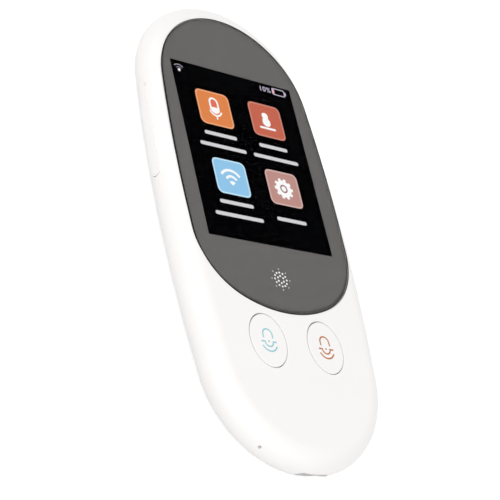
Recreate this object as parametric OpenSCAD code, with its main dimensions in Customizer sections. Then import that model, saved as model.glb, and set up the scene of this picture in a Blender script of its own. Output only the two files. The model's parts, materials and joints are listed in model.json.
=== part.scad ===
// Handheld translator: a flat barrel-shaped body with a bonded display lens,
// two oval talk buttons, a volume rocker, a power key and a charging socket.
// It lies on its back: X to the right, Y towards the display end, Z out of the face.
// The origin is the middle of the back face. All sizes are in millimetres.

/* [Body] */
// Width across the bowed sides
body_w = 54.8; // [52:0.2:60]
// Overall length
body_l = 123.4; // [112:0.2:134]
// Thickness from the back to the front face
body_t = 10.6; // [10.4:0.1:12]
// Radius of the long bowed sides
side_bow_r = 360; // [280:10:600]
// Radius of the edge round the front face
front_edge_r = 4.8; // [4.2:0.1:5.2]
// Radius of the side just behind its widest line
rear_edge_r = 4.3; // [3.8:0.1:4.8]
// Wall of both housings
wall = 1.5; // [1.3:0.1:1.6]
// Height of the seam between the housings
seam_z = 1.9; // [1.7:0.1:2.4]
// Height of the tongue of the back cover over the seam
tongue_h = 1; // [0.6:0.1:1.2]
// Thickness of that tongue
tongue_t = 0.9; // [0.7:0.1:1.1]
// Gap between the side of the body and that tongue
tongue_inset = 3.3; // [3.2:0.1:3.5]
// Gap round that tongue
tongue_gap = 0.1; // [0.06:0.02:0.14]

/* [Lens] */
// Gap between the sides of the body and of the lens
lens_inset = 3.65; // [3.2:0.05:4]
// Distance of the middle of the lens's bowed sides above the middle of the body
lens_rise = 4.9; // [0:0.1:8]
// Drop of the lens's upper arc from the arc of the body's end, centre to centre
lens_drop = 2.3; // [1.6:0.1:3]
// Height of the lens below the window
lens_chin = 17.7; // [16.5:0.1:19]
// Radius of the lower edge of the lens
lens_bottom_r = 31.5; // [30:0.5:36]
// Radius of the lower corners of the lens
lens_corner_r = 18.2; // [16:0.2:20]
// Thickness of the lens
lens_t = 0.5; // [0.4:0.05:0.8]
// Height of the lens over the front face
lens_proud = 0.2; // [0.1:0.05:0.3]
// Slope round the upper edge of the lens
lens_bevel = 0.2; // [0.1:0.05:0.3]
// Gap round the lens in its pocket
lens_gap = 0.12; // [0.08:0.02:0.2]
// Thickness of the print under the lens
print_t = 0.08; // [0.04:0.02:0.12]
// Gap between the edges of the lens and of its print
print_inset = 0.1; // [0.04:0.02:0.2]
// Thickness of the adhesive under the print
adhesive_t = 0.1; // [0.06:0.02:0.16]
// Gap between the edges of the lens and of the adhesive
adhesive_inset = 0.2; // [0.1:0.05:0.3]

/* [Display] */
// Gap between the window and the side of the lens where the body is widest
window_margin = 4.75; // [4.4:0.05:5.6]
// Distance of the window from the upper end of the body
window_drop = 21; // [20:0.1:23]
// Distance of the window from the lower end of the body
window_rise = 54.8; // [51:0.1:58]
// Border of the panel beyond the window at the sides and the upper end
panel_border = 0.8; // [0.5:0.1:1]
// Ledge of the panel beyond the lower end of the window
panel_ledge = 2.6; // [2:0.1:3]
// Gap round the panel in the front housing
panel_gap = 0.2; // [0.1:0.05:0.3]
// Thickness of the display panel
panel_t = 1.4; // [1.1:0.1:1.5]
// Thickness of the backlight
backlight_t = 1.1; // [0.8:0.1:1.2]
// Thickness of the steel sheet behind the backlight
shield_t = 0.3; // [0.2:0.05:0.4]
// Width of the display's flat cable
flex_w = 14; // [10:0.5:18]
// Thickness of the display's flat cable
flex_t = 0.15; // [0.1:0.05:0.2]
// How far the flat cable stands out past the panel where it turns back
flex_turn = 1.1; // [0.8:0.1:1.4]
// Length of the flat cable along the board
flex_l = 12.8; // [10:0.2:16]
// Width of the display's connector beyond its cable
connector_margin = 1; // [0.5:0.1:2]
// Length of the display's connector
connector_l = 3.4; // [2.6:0.2:4]
// Height of the display's connector
connector_t = 0.75; // [0.6:0.05:0.9]

/* [Sound] */
// Distance of the middle of the grille below the window
grille_drop = 8.8; // [8:0.1:9.5]
// Step from one ring of holes to the next
grille_step = 0.9; // [0.85:0.05:1]
// Radius of the holes in the two inner rings
grille_hole_r = 0.29; // [0.2:0.01:0.3]
// Radius of the holes in the outer ring
grille_fine_r = 0.18; // [0.14:0.01:0.2]
// Margin of the sound opening round the outer ring
grille_margin = 0.3; // [0.2:0.05:0.4]
// Margin of the mesh round the sound opening
mesh_margin = 0.5; // [0.3:0.1:0.6]
// Distance of the middle of the speaker below the middle of the grille
speaker_drop = 1.4; // [1:0.1:2]
// Width of the speaker
speaker_w = 15; // [12:0.5:16]
// Length of the speaker
speaker_l = 9.6; // [8.6:0.2:9.8]
// Thickness of the speaker
speaker_t = 2.6; // [2:0.1:2.8]
// Rim round the speaker's cone
cone_rim = 0.8; // [0.7:0.1:1.2]
// Depth of the speaker's cone
cone_depth = 0.4; // [0.2:0.1:0.8]
// Thickness of the gasket on the speaker
gasket_t = 0.15; // [0.1:0.05:0.3]
// Width of a speaker contact
contact_w = 1; // [0.6:0.1:1.4]
// Length of a speaker contact
contact_l = 2; // [1.4:0.2:3]
// Distance of a speaker contact from the side of the speaker
contact_inset = 2; // [1:0.1:3]
// Radius of the two microphone holes
mic_hole_r = 0.42; // [0.3:0.02:0.5]
// Height of the microphone holes over the board
mic_rise = 1.2; // [1.1:0.05:1.4]
// Distance of the side microphone from the upper end of the body
side_mic_drop = 28.1; // [27:0.1:30]
// Direction of the lower microphone round the lower end
low_mic_turn = 233; // [228:0.5:236]
// Distance of a rubber boot behind the widest part of the wall
boot_gap = 1.3; // [1:0.1:1.5]
// Width of a rubber boot round a microphone hole
boot_w = 3.4; // [2.6:0.2:4]
// Length of a rubber boot
boot_l = 2.1; // [1.8:0.1:2.4]
// Height of a rubber boot over the middle of its hole
boot_rise = 0.8; // [0.6:0.05:0.9]
// Width of a microphone
mic_w = 2.8; // [2:0.2:3.4]
// Length of a microphone
mic_l = 2; // [1.4:0.2:2.4]
// Height of a microphone
mic_t = 1; // [0.7:0.1:1.2]

/* [Talk buttons] */
// Distance of each button from the middle line
button_x = 8.6; // [8.2:0.1:9.5]
// Distance of the middle of the buttons below the lens
button_drop = 7.5; // [7.3:0.1:9]
// Width of a button
button_w = 10.4; // [9:0.1:11]
// Length of a button
button_l = 13; // [11.5:0.1:13.2]
// Gap round a button
button_gap = 0.15; // [0.1:0.01:0.2]
// Rim that holds a button under the front face
button_rim = 0.9; // [0.6:0.1:1]
// Thickness of that rim
rim_t = 0.8; // [0.6:0.1:0.9]
// Travel of a talk button
button_travel = 0.4; // [0.2:0.05:0.45]
// Depth of the coloured mark in a button
mark_t = 0.15; // [0.1:0.01:0.3]
// Width of the arch in the mark
mark_w = 2.7; // [2.2:0.1:3]
// Width of the lines of the mark
mark_line = 0.36; // [0.26:0.02:0.4]
// Radius of the plunger of a talk switch
plunger_r = 1; // [0.8:0.1:1.2]
// Gap round that plunger
plunger_gap = 0.05; // [0.03:0.01:0.08]
// Radius of the foot under a talk button beyond its plunger
foot_margin = 0.4; // [0.2:0.1:0.8]
// Width of a talk switch
talk_switch_w = 5.2; // [4.6:0.2:6]
// Height of a talk switch
talk_switch_h = 1.5; // [1.3:0.1:1.6]
// Floor of a talk switch under its plunger
talk_switch_floor = 0.3; // [0.2:0.05:0.4]

/* [Side keys] */
// Distance of the middle of both side keys from the upper end of the body
key_drop = 42.8; // [41:0.2:46]
// Length of the volume rocker
rocker_l = 20; // [17:0.5:21]
// Length of the power key
power_l = 9; // [7:0.5:11]
// Height of both side keys
key_h = 2.4; // [2:0.1:2.6]
// Height of the middle of the side keys over the board
key_rise = 0.4; // [0.2:0.1:0.5]
// How far the side keys stand out
key_proud = 0.25; // [0.1:0.05:0.5]
// Gap round the side keys
key_gap = 0.15; // [0.12:0.01:0.2]
// Gap between the wall and the rims of the side keys
key_play = 0.95; // [0.9:0.05:1.1]
// Length of the rim at each end of a side key
key_rim = 0.8; // [0.5:0.1:1]
// Thickness of that rim
key_rim_t = 0.8; // [0.6:0.1:1]
// Travel of the power key
key_travel = 0.3; // [0.2:0.05:0.35]
// Distance of the switches under the rocker from its middle
switch_arm = 7.2; // [6:0.2:7.6]
// Width of a side switch along the body
side_switch_w = 3.6; // [3:0.2:4]
// Depth of a side switch
side_switch_l = 2.2; // [1.6:0.1:2.4]
// Height of a side switch
side_switch_h = 1.3; // [1.1:0.1:1.4]
// Width of the nub that presses a side switch
nub_w = 1.6; // [1.2:0.2:2]
// Height of that nub
nub_h = 1; // [0.7:0.1:1.1]
// Radius of the pin that the rocker turns on
pin_r = 0.5; // [0.4:0.05:0.6]
// Distance of that pin behind the rim
pin_back = 0.4; // [0.3:0.05:0.5]
// Gap round that pin
pin_gap = 0.05; // [0.03:0.01:0.08]
// Wall of the rocker's eye round that gap
pin_eye_wall = 0.55; // [0.4:0.05:0.6]

/* [Board] */
// Depth of the board's face under the front wall
board_drop = 3.2; // [3.1:0.05:3.4]
// Thickness of the board
board_t = 1; // [0.8:0.1:1]
// Gap between the sides of the body and of the board
board_inset = 4.4; // [4.2:0.1:5]
// Gap between the lower end of the body and the board
board_end = 3.5; // [3:0.1:4.5]
// Margin of the board round the upper screws
board_margin = 1; // [0.6:0.1:2]
// Distance of the housing screws from the side of the body
screw_side = 13.9; // [13:0.1:15]
// Distance of the housing screws from the ends of the body
screw_end = 15.2; // [15:0.1:16]
// Radius of the housing screws
screw_r = 0.75; // [0.6:0.05:0.8]
// Radius of the heads of the housing screws
head_r = 1.4; // [1.2:0.1:1.5]
// Height of the heads of the housing screws
head_t = 0.9; // [0.6:0.1:1]
// Depth of the heads in the back face
head_sink = 0.35; // [0.2:0.05:0.5]
// Radius of the posts round the screws in the front housing
post_r = 2; // [1.9:0.1:2.1]
// Radius of the posts of the back cover beyond those
post_step = 0.3; // [0.2:0.1:0.5]
// Clearance of the housing screws in the back cover and the board
screw_play = 0.15; // [0.1:0.05:0.2]
// Distance of the board screws from the side of the body
board_screw_side = 7.9; // [7.6:0.1:9]
// Radius of the board screws
board_screw_r = 0.6; // [0.5:0.05:0.7]
// Radius of the heads of the board screws
board_head_r = 1.2; // [1:0.1:1.4]
// Height of the heads of the board screws
board_head_t = 0.7; // [0.5:0.1:0.8]

/* [Chips] */
// Gap between the shield can and the battery's plug
can_gap = 3; // [2:0.1:4]
// Width of the shield can
can_w = 30; // [27:0.5:32]
// Length of the shield can
can_l = 14; // [12.4:0.2:15]
// Height of the shield can
can_t = 2.2; // [1.8:0.1:2.4]
// Sheet of the shield can
can_sheet = 0.2; // [0.1:0.05:0.3]
// Side of the processor
processor_w = 11; // [9:0.5:11.5]
// Height of the processor
processor_t = 1.1; // [0.8:0.1:1.3]
// Width of the memory chip
memory_w = 11; // [8:0.5:11.5]
// Length of the memory chip
memory_l = 9; // [8:0.5:11.5]
// Height of the memory chip
memory_t = 1; // [0.7:0.1:1.2]
// Gap between the processor and the memory chip
chip_gap = 3; // [2:0.1:4]
// Side of the power chip
power_chip_w = 5; // [4:0.2:5.6]
// Height of the power chip
power_chip_t = 0.9; // [0.6:0.1:1.1]
// Gap between the power chip and the charging socket
power_chip_gap = 1.5; // [1:0.1:2.5]
// Width of the antenna block
antenna_w = 8; // [6:0.5:10]
// Length of the antenna block
antenna_l = 2; // [1.4:0.2:2.6]
// Height of the antenna block
antenna_t = 0.9; // [0.6:0.1:1]
// Distance of the antenna block from the upper end of the board
antenna_gap = 2; // [1:0.1:3]

/* [Charging socket] */
// Width of the socket's shell
usb_w = 8.94; // [8.9:0.02:9]
// Height of the socket's shell
usb_h = 3.2; // [3.16:0.02:3.3]
// Length of the socket's shell
usb_l = 7.4; // [6.5:0.1:8]
// Depth of its mouth behind the end of the body
usb_depth = 1.7; // [1.6:0.1:2]
// Height of its shell's top over the board's face
usb_rise = 0.4; // [0.3:0.05:0.6]
// Sheet of the shell
usb_sheet = 0.3; // [0.2:0.05:0.4]
// Back wall of the shell
usb_back = 0.8; // [0.5:0.1:1.2]
// Gap round the shell in the housing
usb_gap = 0.15; // [0.1:0.01:0.2]
// Width of the tongue in the socket
usb_tongue_w = 6.6; // [6.4:0.05:6.7]
// Thickness of the tongue in the socket
usb_tongue_t = 0.7; // [0.6:0.05:0.75]
// Depth of that tongue behind the mouth
usb_tongue_depth = 0.9; // [0.6:0.1:1.2]

/* [Battery] */
// Width of the battery
battery_w = 35; // [30:0.5:35.5]
// Distance of the battery from the upper end of the body
battery_drop = 20.2; // [20:0.1:22]
// Distance of the battery from the lower end of the body
battery_rise = 54.2; // [53:0.1:58]
// Gap between the battery and the board
battery_gap = 0.3; // [0.2:0.05:0.5]
// Thickness of the adhesive pad under the battery
pad_t = 0.2; // [0.1:0.05:0.3]
// Margin of the battery round its pad
pad_margin = 3; // [1:0.5:5]
// Length of the battery's circuit board
guard_l = 2.6; // [2:0.2:3.4]
// Margin of the battery round its circuit board
guard_margin = 3; // [1:0.5:6]
// Recess of that circuit board from the battery's faces
guard_recess = 0.2; // [0.1:0.05:0.4]
// Radius of a battery lead
lead_r = 0.5; // [0.3:0.05:0.6]
// Length of a battery lead
lead_l = 3.4; // [2:0.2:4]
// Distance between the two leads
lead_step = 2; // [1.6:0.1:3]
// Distance of the plug from the middle line
plug_x = 8; // [5:0.5:12]
// Width of the battery's plug
plug_w = 6; // [4.6:0.2:7]
// Length of the battery's plug
plug_l = 3.6; // [2.6:0.2:4]
// Height of the battery's plug
plug_t = 2.4; // [2:0.1:2.5]

/* [Hidden] */
$fn = 48;

shell_white = [0.95, 0.95, 0.94];
lens_grey = [0.4, 0.39, 0.4];
mark_blue = [0.55, 0.8, 0.93];
mark_orange = [0.9, 0.5, 0.27];
part_black = [0.13, 0.13, 0.14];
part_cream = [0.9, 0.88, 0.8];
board_green = [0.05, 0.3, 0.15];

// Play between layers, and between pieces that only just meet
layer_gap = 0.02;
// Play between a key at the end of its travel and the piece that stops it
stop_gap = 0.05;
// Overlap that lets one cut run cleanly past a face
past = 1;

// The outline is four arcs: two long side arcs and two end arcs that they run into.
half_w = body_w / 2;
half_l = body_l / 2;
bow_x = side_bow_r - half_w;
end_r = (2 * side_bow_r * half_w - half_w * half_w - half_l * half_l) / (2 * (side_bow_r - half_l));
end_y = half_l - end_r;
sweep = atan2(end_y, bow_x);
side_steps = 6;
end_steps = 28;

// The section of the edge is a front arc, a tight rear arc and a wide rear arc.
turn = 50;
front_steps = 6;
edge_steps = 3;
widest_z = body_t - front_edge_r;
rear_sweep_r = (widest_z - rear_edge_r * sin(turn)) / (1 - sin(turn));
flat_inset = rear_edge_r * (1 - cos(turn)) + rear_sweep_r * cos(turn);

// Heights, from the front wall inwards
wall_z = body_t - wall;
lens_top = body_t + lens_proud;
lens_z = lens_top - lens_t;
print_z = lens_z - layer_gap - print_t;
pocket_z = print_z - layer_gap - adhesive_t;
panel_z = print_z - layer_gap - panel_t;
backlight_z = panel_z - layer_gap - backlight_t;
shield_z = backlight_z - layer_gap - shield_t;
speaker_z = wall_z - gasket_t - speaker_t;
board_top = wall_z - board_drop;
board_z = board_top - board_t;
battery_z = wall + pad_t;
battery_t = board_z - battery_gap - battery_z;
usb_z = board_top + usb_rise - usb_h / 2;
key_z = board_top + key_rise;
mic_z = board_top + mic_rise;
boot_z = board_top + stop_gap;
head_z = head_sink;

// Places along the body
window_high = half_l - window_drop;
window_low = -half_l + window_rise;
window_h = window_high - window_low;
window_w = 2 * (half_w - lens_inset - window_margin);
panel_w = window_w + 2 * panel_border;
panel_low = window_low - panel_ledge;
panel_high = window_high + panel_border;
grille_y = window_low - grille_drop;
grille_open_r = 3 * grille_step + grille_fine_r + grille_margin;
speaker_y = grille_y - speaker_drop;
lens_bottom_y = window_low - lens_chin;
lens_top_y = end_y - lens_drop;
button_y = lens_bottom_y - button_drop;
key_y = half_l - key_drop;
side_mic_y = half_l - side_mic_drop;
screw_x = half_w - screw_side;
screw_y = half_l - screw_end;
board_screw_x = half_w - board_screw_side;
board_screw_y = speaker_y;
board_low = -half_l + board_end;
board_high = screw_y + post_r + board_margin;
battery_y = -half_l + battery_rise;
battery_l = half_l - battery_drop - battery_y;
plug_y = battery_y - guard_l - lead_l;
can_high = plug_y - plug_l - can_gap;
chip_y = can_high - can_l / 2;
usb_mouth = -half_l + usb_depth;

function ring_at(outline, z) = [for (p = outline) [p[0], p[1], z]];
function arc(cx, cy, r, from, to, steps) =
    [for (i = [0:steps - 1]) let (a = from + (to - from) * i / steps) [cx + r * cos(a), cy + r * sin(a)]];
// Outline of the body, moved inwards by d
function barrel(d) = concat(
    arc(-bow_x, 0, side_bow_r - d, -sweep, sweep, side_steps),
    arc(0, end_y, end_r - d, sweep, 180 - sweep, end_steps),
    arc(bow_x, 0, side_bow_r - d, 180 - sweep, 180 + sweep, side_steps),
    arc(0, -end_y, end_r - d, 180 + sweep, 360 - sweep, end_steps));
// Points of the edge's section as [inset, height], for a skin that lies d inside the body
function front_section(d) =
    [for (i = [0:front_steps]) let (a = 90 * i / front_steps)
        [front_edge_r - (front_edge_r - d) * cos(a), widest_z + (front_edge_r - d) * sin(a)]];
function edge_section(d) =
    [for (i = [0:edge_steps - 1]) let (a = turn * (1 - i / edge_steps))
        [rear_edge_r - (rear_edge_r - d) * cos(a), widest_z - (rear_edge_r - d) * sin(a)]];
// The wide rear arc between two of its angles
function sweep_section(d, from, to, steps) =
    [for (i = [0:steps]) let (a = from + (to - from) * i / steps)
        [flat_inset - (rear_sweep_r - d) * cos(a), rear_sweep_r - (rear_sweep_r - d) * sin(a)]];
function seam_turn(d) = asin((rear_sweep_r - seam_z) / (rear_sweep_r - d));
function upper_section(d) =
    let (low = sweep_section(d, seam_turn(d), turn, 2))
    concat([low[0], low[1]], edge_section(d), front_section(d));
function lower_section(d) = sweep_section(d, 90, seam_turn(d), 4);

// A closed solid through rings that all have the same number of points
module through_rings(rings) {
    n = len(rings[0]);
    last = len(rings) - 1;
    polyhedron(
        points = [for (r = rings) each r],
        faces = concat(
            [[for (i = [0:n - 1]) i]],
            [for (k = [0:last - 1]) for (i = [0:n - 1])
                [k * n + i, (k + 1) * n + i, (k + 1) * n + (i + 1) % n, k * n + (i + 1) % n]],
            [[for (i = [0:n - 1]) last * n + n - 1 - i]]),
        convexity = 6);
}

module upper_body(d) {
    through_rings([for (s = upper_section(d)) ring_at(barrel(s[0]), s[1])]);
}

module upper_cavity(d) {
    s = upper_section(d);
    through_rings(concat([ring_at(barrel(s[0][0]), seam_z - past)],
        [for (q = s) ring_at(barrel(q[0]), q[1])]));
}

module lower_body(d) {
    through_rings([for (s = lower_section(d)) ring_at(barrel(s[0]), s[1])]);
}

module lower_cavity(d) {
    s = lower_section(d);
    through_rings(concat([for (q = s) ring_at(barrel(q[0]), q[1])],
        [ring_at(barrel(s[len(s) - 1][0]), seam_z + past)]));
}

// The lens outline: bowed sides, a round upper end, and a flatter lower end
// with its own corner arcs.
lens_side_r = side_bow_r - lens_inset;
lens_top_r = lens_side_r - norm([bow_x, lens_top_y - lens_rise]);
lens_top_turn = atan2(lens_top_y - lens_rise, bow_x);
lens_low_y = lens_bottom_y + lens_bottom_r;
to_low = norm([bow_x, lens_low_y - lens_rise]);
reach_side = lens_side_r - lens_corner_r;
reach_low = lens_bottom_r - lens_corner_r;
along = (to_low * to_low + reach_side * reach_side - reach_low * reach_low) / (2 * to_low);
across = sqrt(reach_side * reach_side - along * along);
corner_x = -bow_x + (along * bow_x + across * (lens_low_y - lens_rise)) / to_low;
corner_y = lens_rise + (along * (lens_low_y - lens_rise) - across * bow_x) / to_low;
corner_turn = atan2(corner_y - lens_rise, corner_x + bow_x);
low_turn = atan2(corner_y - lens_low_y, corner_x);
function lens_half(d) = concat(
    arc(0, lens_low_y, lens_bottom_r - d, -90, low_turn, 10),
    arc(corner_x, corner_y, lens_corner_r - d, low_turn, corner_turn, 14),
    arc(-bow_x, lens_rise, lens_side_r - d, corner_turn, lens_top_turn, 6),
    arc(0, lens_top_y, lens_top_r - d, lens_top_turn, 90, 16));
function lens_outline(d) =
    let (h = lens_half(d), top = [0, lens_top_y + lens_top_r - d])
    concat(h, [top], [for (i = [len(h) - 1:-1:1]) [-h[i][0], h[i][1]]]);

// An oval is a polygon, so that its gap and its rim stay parallel to it
function oval(w, l) = [for (a = [0:6:354]) [w / 2 * cos(a), l / 2 * sin(a)]];

// Places its children where the left side passes y, with -X pointing straight out
module on_left_side(y) {
    translate([bow_x, 0, 0])
        rotate([0, 0, -asin(y / side_bow_r)])
            translate([-side_bow_r, 0, 0])
                children();
}

module on_right_side(y) {
    mirror([1, 0, 0])
        on_left_side(y)
            children();
}

// Places its children where the lower microphone looks out, with -X pointing straight out
module at_low_mic() {
    translate([0, -end_y, 0])
        rotate([0, 0, low_mic_turn])
            translate([end_r, 0, 0])
                mirror([1, 0, 0])
                    children();
}

module at_corners(x, y) {
    for (sx = [-1, 1])
        for (sy = [-1, 1])
            translate([sx * x, sy * y, 0])
                children();
}

module at_board_screws() {
    for (s = [-1, 1])
        translate([s * board_screw_x, board_screw_y, 0])
            children();
}

// Bar along Y with round ends, from x = from to x = to
module key_bar(length, height, from, to) {
    r = height / 2;
    for (s = [-1, 1])
        translate([from, s * (length / 2 - r), key_z])
            rotate([0, 90, 0])
                cylinder(h = to - from, r = r);
    translate([from, -length / 2 + r, key_z - r])
        cube([to - from, length - height, height]);
}

// Side keys: a rim behind the wall keeps them in
rim_x = wall + key_play;
rim_low = board_top + 2 * stop_gap;
rim_high = key_z + key_h / 2;
rim_back = rim_x + key_rim_t;
pin_x = rim_back + pin_back;
pin_eye_r = pin_r + pin_gap + pin_eye_wall;
pin_high = wall_z - wall / 3;
switch_x = pin_x + pin_eye_r - pin_r;

module pin_place() {
    on_left_side(key_y)
        translate([pin_x, 0, 0])
            children();
}

module key_rim_bar(length) {
    translate([rim_x, -length / 2 - key_rim, rim_low])
        cube([key_rim_t, length + 2 * key_rim, rim_high - rim_low]);
}

// Flat bar along Y with round sides, as the shell of the socket
module usb_shape(grow, length) {
    r = usb_h / 2 + grow;
    w = usb_w / 2 + grow - r;
    for (s = [-1, 1])
        translate([s * w, 0, 0])
            rotate([-90, 0, 0])
                cylinder(h = length, r = r);
    translate([-w, 0, -r])
        cube([2 * w, length, 2 * r]);
}

// Slot through the wall and the tongue, along the whole shell
module usb_slot() {
    translate([0, -half_l - past, usb_z])
        usb_shape(usb_gap, past + usb_depth + usb_l);
}

// Body pieces
module front_housing() {
    color(shell_white)
        difference() {
            union() {
                difference() {
                    upper_body(0);
                    upper_cavity(wall);
                }
                at_corners(screw_x, screw_y)
                    translate([0, 0, board_top])
                        cylinder(h = board_drop + wall / 4, r = post_r);
                at_board_screws()
                    translate([0, 0, board_top])
                        cylinder(h = board_drop + wall / 4, r = post_r);
                pin_place()
                    translate([0, 0, rim_high + stop_gap])
                        cylinder(h = wall_z + wall / 4 - rim_high - stop_gap, r = pin_eye_r);
            }
            // rebate for the tongue of the back cover
            translate([0, 0, seam_z - past])
                linear_extrude(past + tongue_h + tongue_gap)
                    polygon(barrel(tongue_inset - tongue_gap));
            // pocket of the lens
            translate([0, 0, pocket_z])
                linear_extrude(body_t)
                    polygon(lens_outline(-lens_gap));
            // opening of the display
            translate([-panel_w / 2 - panel_gap, panel_low - panel_gap, wall_z - past])
                cube([panel_w + 2 * panel_gap, panel_high - panel_low + 2 * panel_gap, body_t]);
            // notch where the flat cable turns
            translate([-flex_w / 2 - panel_gap, flex_back - panel_gap, wall_z - past])
                cube([flex_w + 2 * panel_gap, panel_low - flex_back, body_t]);
            // sound opening
            translate([0, grille_y, wall_z - past])
                cylinder(h = body_t, r = grille_open_r);
            for (s = [-1, 1])
                translate([s * button_x, button_y, wall_z - past])
                    linear_extrude(body_t)
                        polygon(oval(button_w + 2 * button_gap, button_l + 2 * button_gap));
            on_left_side(key_y)
                key_bar(rocker_l + 2 * key_gap, key_h + 2 * key_gap, -2 * past, rim_x);
            on_right_side(key_y)
                key_bar(power_l + 2 * key_gap, key_h + 2 * key_gap, -2 * past, rim_x);
            usb_slot();
            at_low_mic()
                mic_hole();
            on_left_side(side_mic_y)
                mic_hole();
            at_corners(screw_x, screw_y)
                translate([0, 0, board_top - past])
                    cylinder(h = past + board_drop - screw_short / 2, r = screw_r + layer_gap);
            at_board_screws()
                translate([0, 0, board_top - past])
                    cylinder(h = past + board_drop - screw_short / 2, r = board_screw_r + layer_gap);
            pin_place()
                translate([0, 0, board_top])
                    cylinder(h = pin_high - board_top, r = pin_r + layer_gap);
        }
}

// Shortfall of the screws from the front wall
screw_short = 0.9;

module mic_hole() {
    translate([-past, 0, mic_z])
        rotate([0, 90, 0])
            cylinder(h = 2 * past + wall, r = mic_hole_r);
}

module back_cover() {
    color(shell_white)
        difference() {
            union() {
                difference() {
                    lower_body(0);
                    lower_cavity(wall);
                }
                // tongue inside the front housing
                difference() {
                    translate([0, 0, seam_z - tongue_t / 2])
                        linear_extrude(tongue_h + tongue_t / 2)
                            polygon(barrel(tongue_inset));
                    translate([0, 0, seam_z - past])
                        linear_extrude(tongue_h + 2 * past)
                            polygon(barrel(tongue_inset + tongue_t));
                }
                at_corners(screw_x, screw_y)
                    translate([0, 0, wall / 2])
                        cylinder(h = board_z - wall / 2, r = post_r + post_step);
            }
            at_corners(screw_x, screw_y) {
                translate([0, 0, -past])
                    cylinder(h = past + head_z + head_t, r = head_r + screw_play);
                translate([0, 0, -past])
                    cylinder(h = body_t, r = screw_r + screw_play);
            }
            usb_slot();
        }
}

module cover_screws() {
    color("silver")
        at_corners(screw_x, screw_y) {
            translate([0, 0, head_z])
                difference() {
                    cylinder(h = head_t, r = head_r);
                    translate([0, 0, -past])
                        cylinder(h = past + head_t / 2, r = head_r / 2, $fn = 6);
                }
            translate([0, 0, head_z + head_t])
                cylinder(h = wall_z - screw_short - head_z - head_t, r = screw_r);
        }
}

// Lens and display
module lens() {
    color([0.8, 0.82, 0.84, 0.35])
        difference() {
            through_rings([ring_at(lens_outline(0), lens_z),
                ring_at(lens_outline(0), lens_top - lens_bevel * 0.6),
                ring_at(lens_outline(lens_bevel * 0.35), lens_top - lens_bevel * 0.2),
                ring_at(lens_outline(lens_bevel), lens_top)]);
            translate([0, grille_y, 0])
                linear_extrude(2 * body_t)
                    grille_pattern();
        }
}

module grille_pattern() {
    for (ring = [1:2])
        for (k = [0:6 * ring - 1])
            rotate(60 / ring * k + 30)
                translate([grille_step * ring, 0])
                    circle(r = grille_hole_r, $fn = 16);
    for (k = [0:7])
        rotate(45 * k)
            translate([grille_step * 3, 0])
                circle(r = grille_fine_r, $fn = 16);
}

module lens_print() {
    color(lens_grey)
        translate([0, 0, print_z])
            linear_extrude(print_t)
                difference() {
                    polygon(lens_outline(print_inset));
                    translate([-window_w / 2, window_low])
                        square([window_w, window_h]);
                    translate([0, grille_y])
                        grille_pattern();
                }
}

module lens_adhesive() {
    color([0.75, 0.75, 0.72])
        translate([0, 0, pocket_z])
            linear_extrude(adhesive_t)
                difference() {
                    polygon(lens_outline(adhesive_inset));
                    translate([-panel_w / 2 - panel_gap, panel_low - panel_gap])
                        square([panel_w + 2 * panel_gap, panel_high - panel_low + 2 * panel_gap]);
                    translate([0, grille_y])
                        circle(r = grille_open_r + mesh_margin + layer_gap);
                }
}

module grille_mesh() {
    color("white")
        translate([0, grille_y, pocket_z])
            cylinder(h = adhesive_t, r = grille_open_r + mesh_margin);
}

module optical_bond() {
    color([0.85, 0.88, 0.9, 0.35])
        translate([-window_w / 2 + layer_gap, window_low + layer_gap, print_z])
            cube([window_w - 2 * layer_gap, window_h - 2 * layer_gap, print_t]);
}

module display_layer(z, t) {
    translate([-panel_w / 2, panel_low, z])
        cube([panel_w, panel_high - panel_low, t]);
}

module display_panel() {
    color([0.03, 0.03, 0.04]) display_layer(panel_z, panel_t);
}

module backlight() {
    color([0.9, 0.9, 0.88]) display_layer(backlight_z, backlight_t);
}

module display_shield() {
    color("silver") display_layer(shield_z, shield_t);
}

flex_high = panel_z + panel_t / 4;
flex_low = board_top + connector_t;
flex_back = panel_low - flex_turn;
connector_y = flex_back + flex_l;

// The flat cable leaves the panel's lower end, turns down and runs back to its connector
module display_flex() {
    color([0.75, 0.5, 0.15])
        translate([-flex_w / 2, 0, 0])
            rotate([90, 0, 90])
                linear_extrude(flex_w)
                    polygon([[panel_low, flex_high], [flex_back, flex_high],
                        [flex_back, flex_low - flex_t], [connector_y, flex_low - flex_t],
                        [connector_y, flex_low], [flex_back + flex_t, flex_low],
                        [flex_back + flex_t, flex_high - flex_t], [panel_low, flex_high - flex_t]]);
}

module display_connector() {
    color(part_cream)
        translate([-flex_w / 2 - connector_margin, connector_y, board_top])
            cube([flex_w + 2 * connector_margin, connector_l, connector_t]);
}

// Talk buttons
rim_z = wall_z - rim_t - layer_gap;
plunger_low = board_top + talk_switch_floor + button_travel + 2 * stop_gap;
plunger_top = board_top + talk_switch_h + button_travel + stop_gap;

// Sign of a talk button: an arch, a dot in a cup with two short wings, and a bow below.
// Its parts are shares of the arch's width, as in a printed sign.
module mark_shape(grow) {
    line = mark_line + grow;
    arch_r = mark_w / 2;
    foot_y = 0.18 * mark_w;
    difference() {
        union() {
            translate([0, arch_r]) circle(r = arch_r + line / 2);
            translate([-arch_r - line / 2, foot_y - grow / 2]) square([mark_w + line, arch_r - foot_y]);
        }
        translate([0, arch_r]) circle(r = arch_r - line / 2);
        translate([-arch_r + line / 2, -arch_r]) square([mark_w - line, 2 * arch_r]);
    }
    translate([0, -0.12 * mark_w]) circle(r = 0.09 * mark_w + grow / 2);
    translate([0, -0.15 * mark_w]) {
        half_ring(0.44 * mark_w, line, line / 2);
        for (s = [-1, 1])
            translate([s * 0.62 * mark_w - 0.2 * mark_w - grow / 2, -line / 2])
                square([0.4 * mark_w + grow, line]);
    }
    translate([0, -0.19 * mark_w])
        half_ring(0.83 * mark_w, line, -0.33 * mark_w);
}

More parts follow.
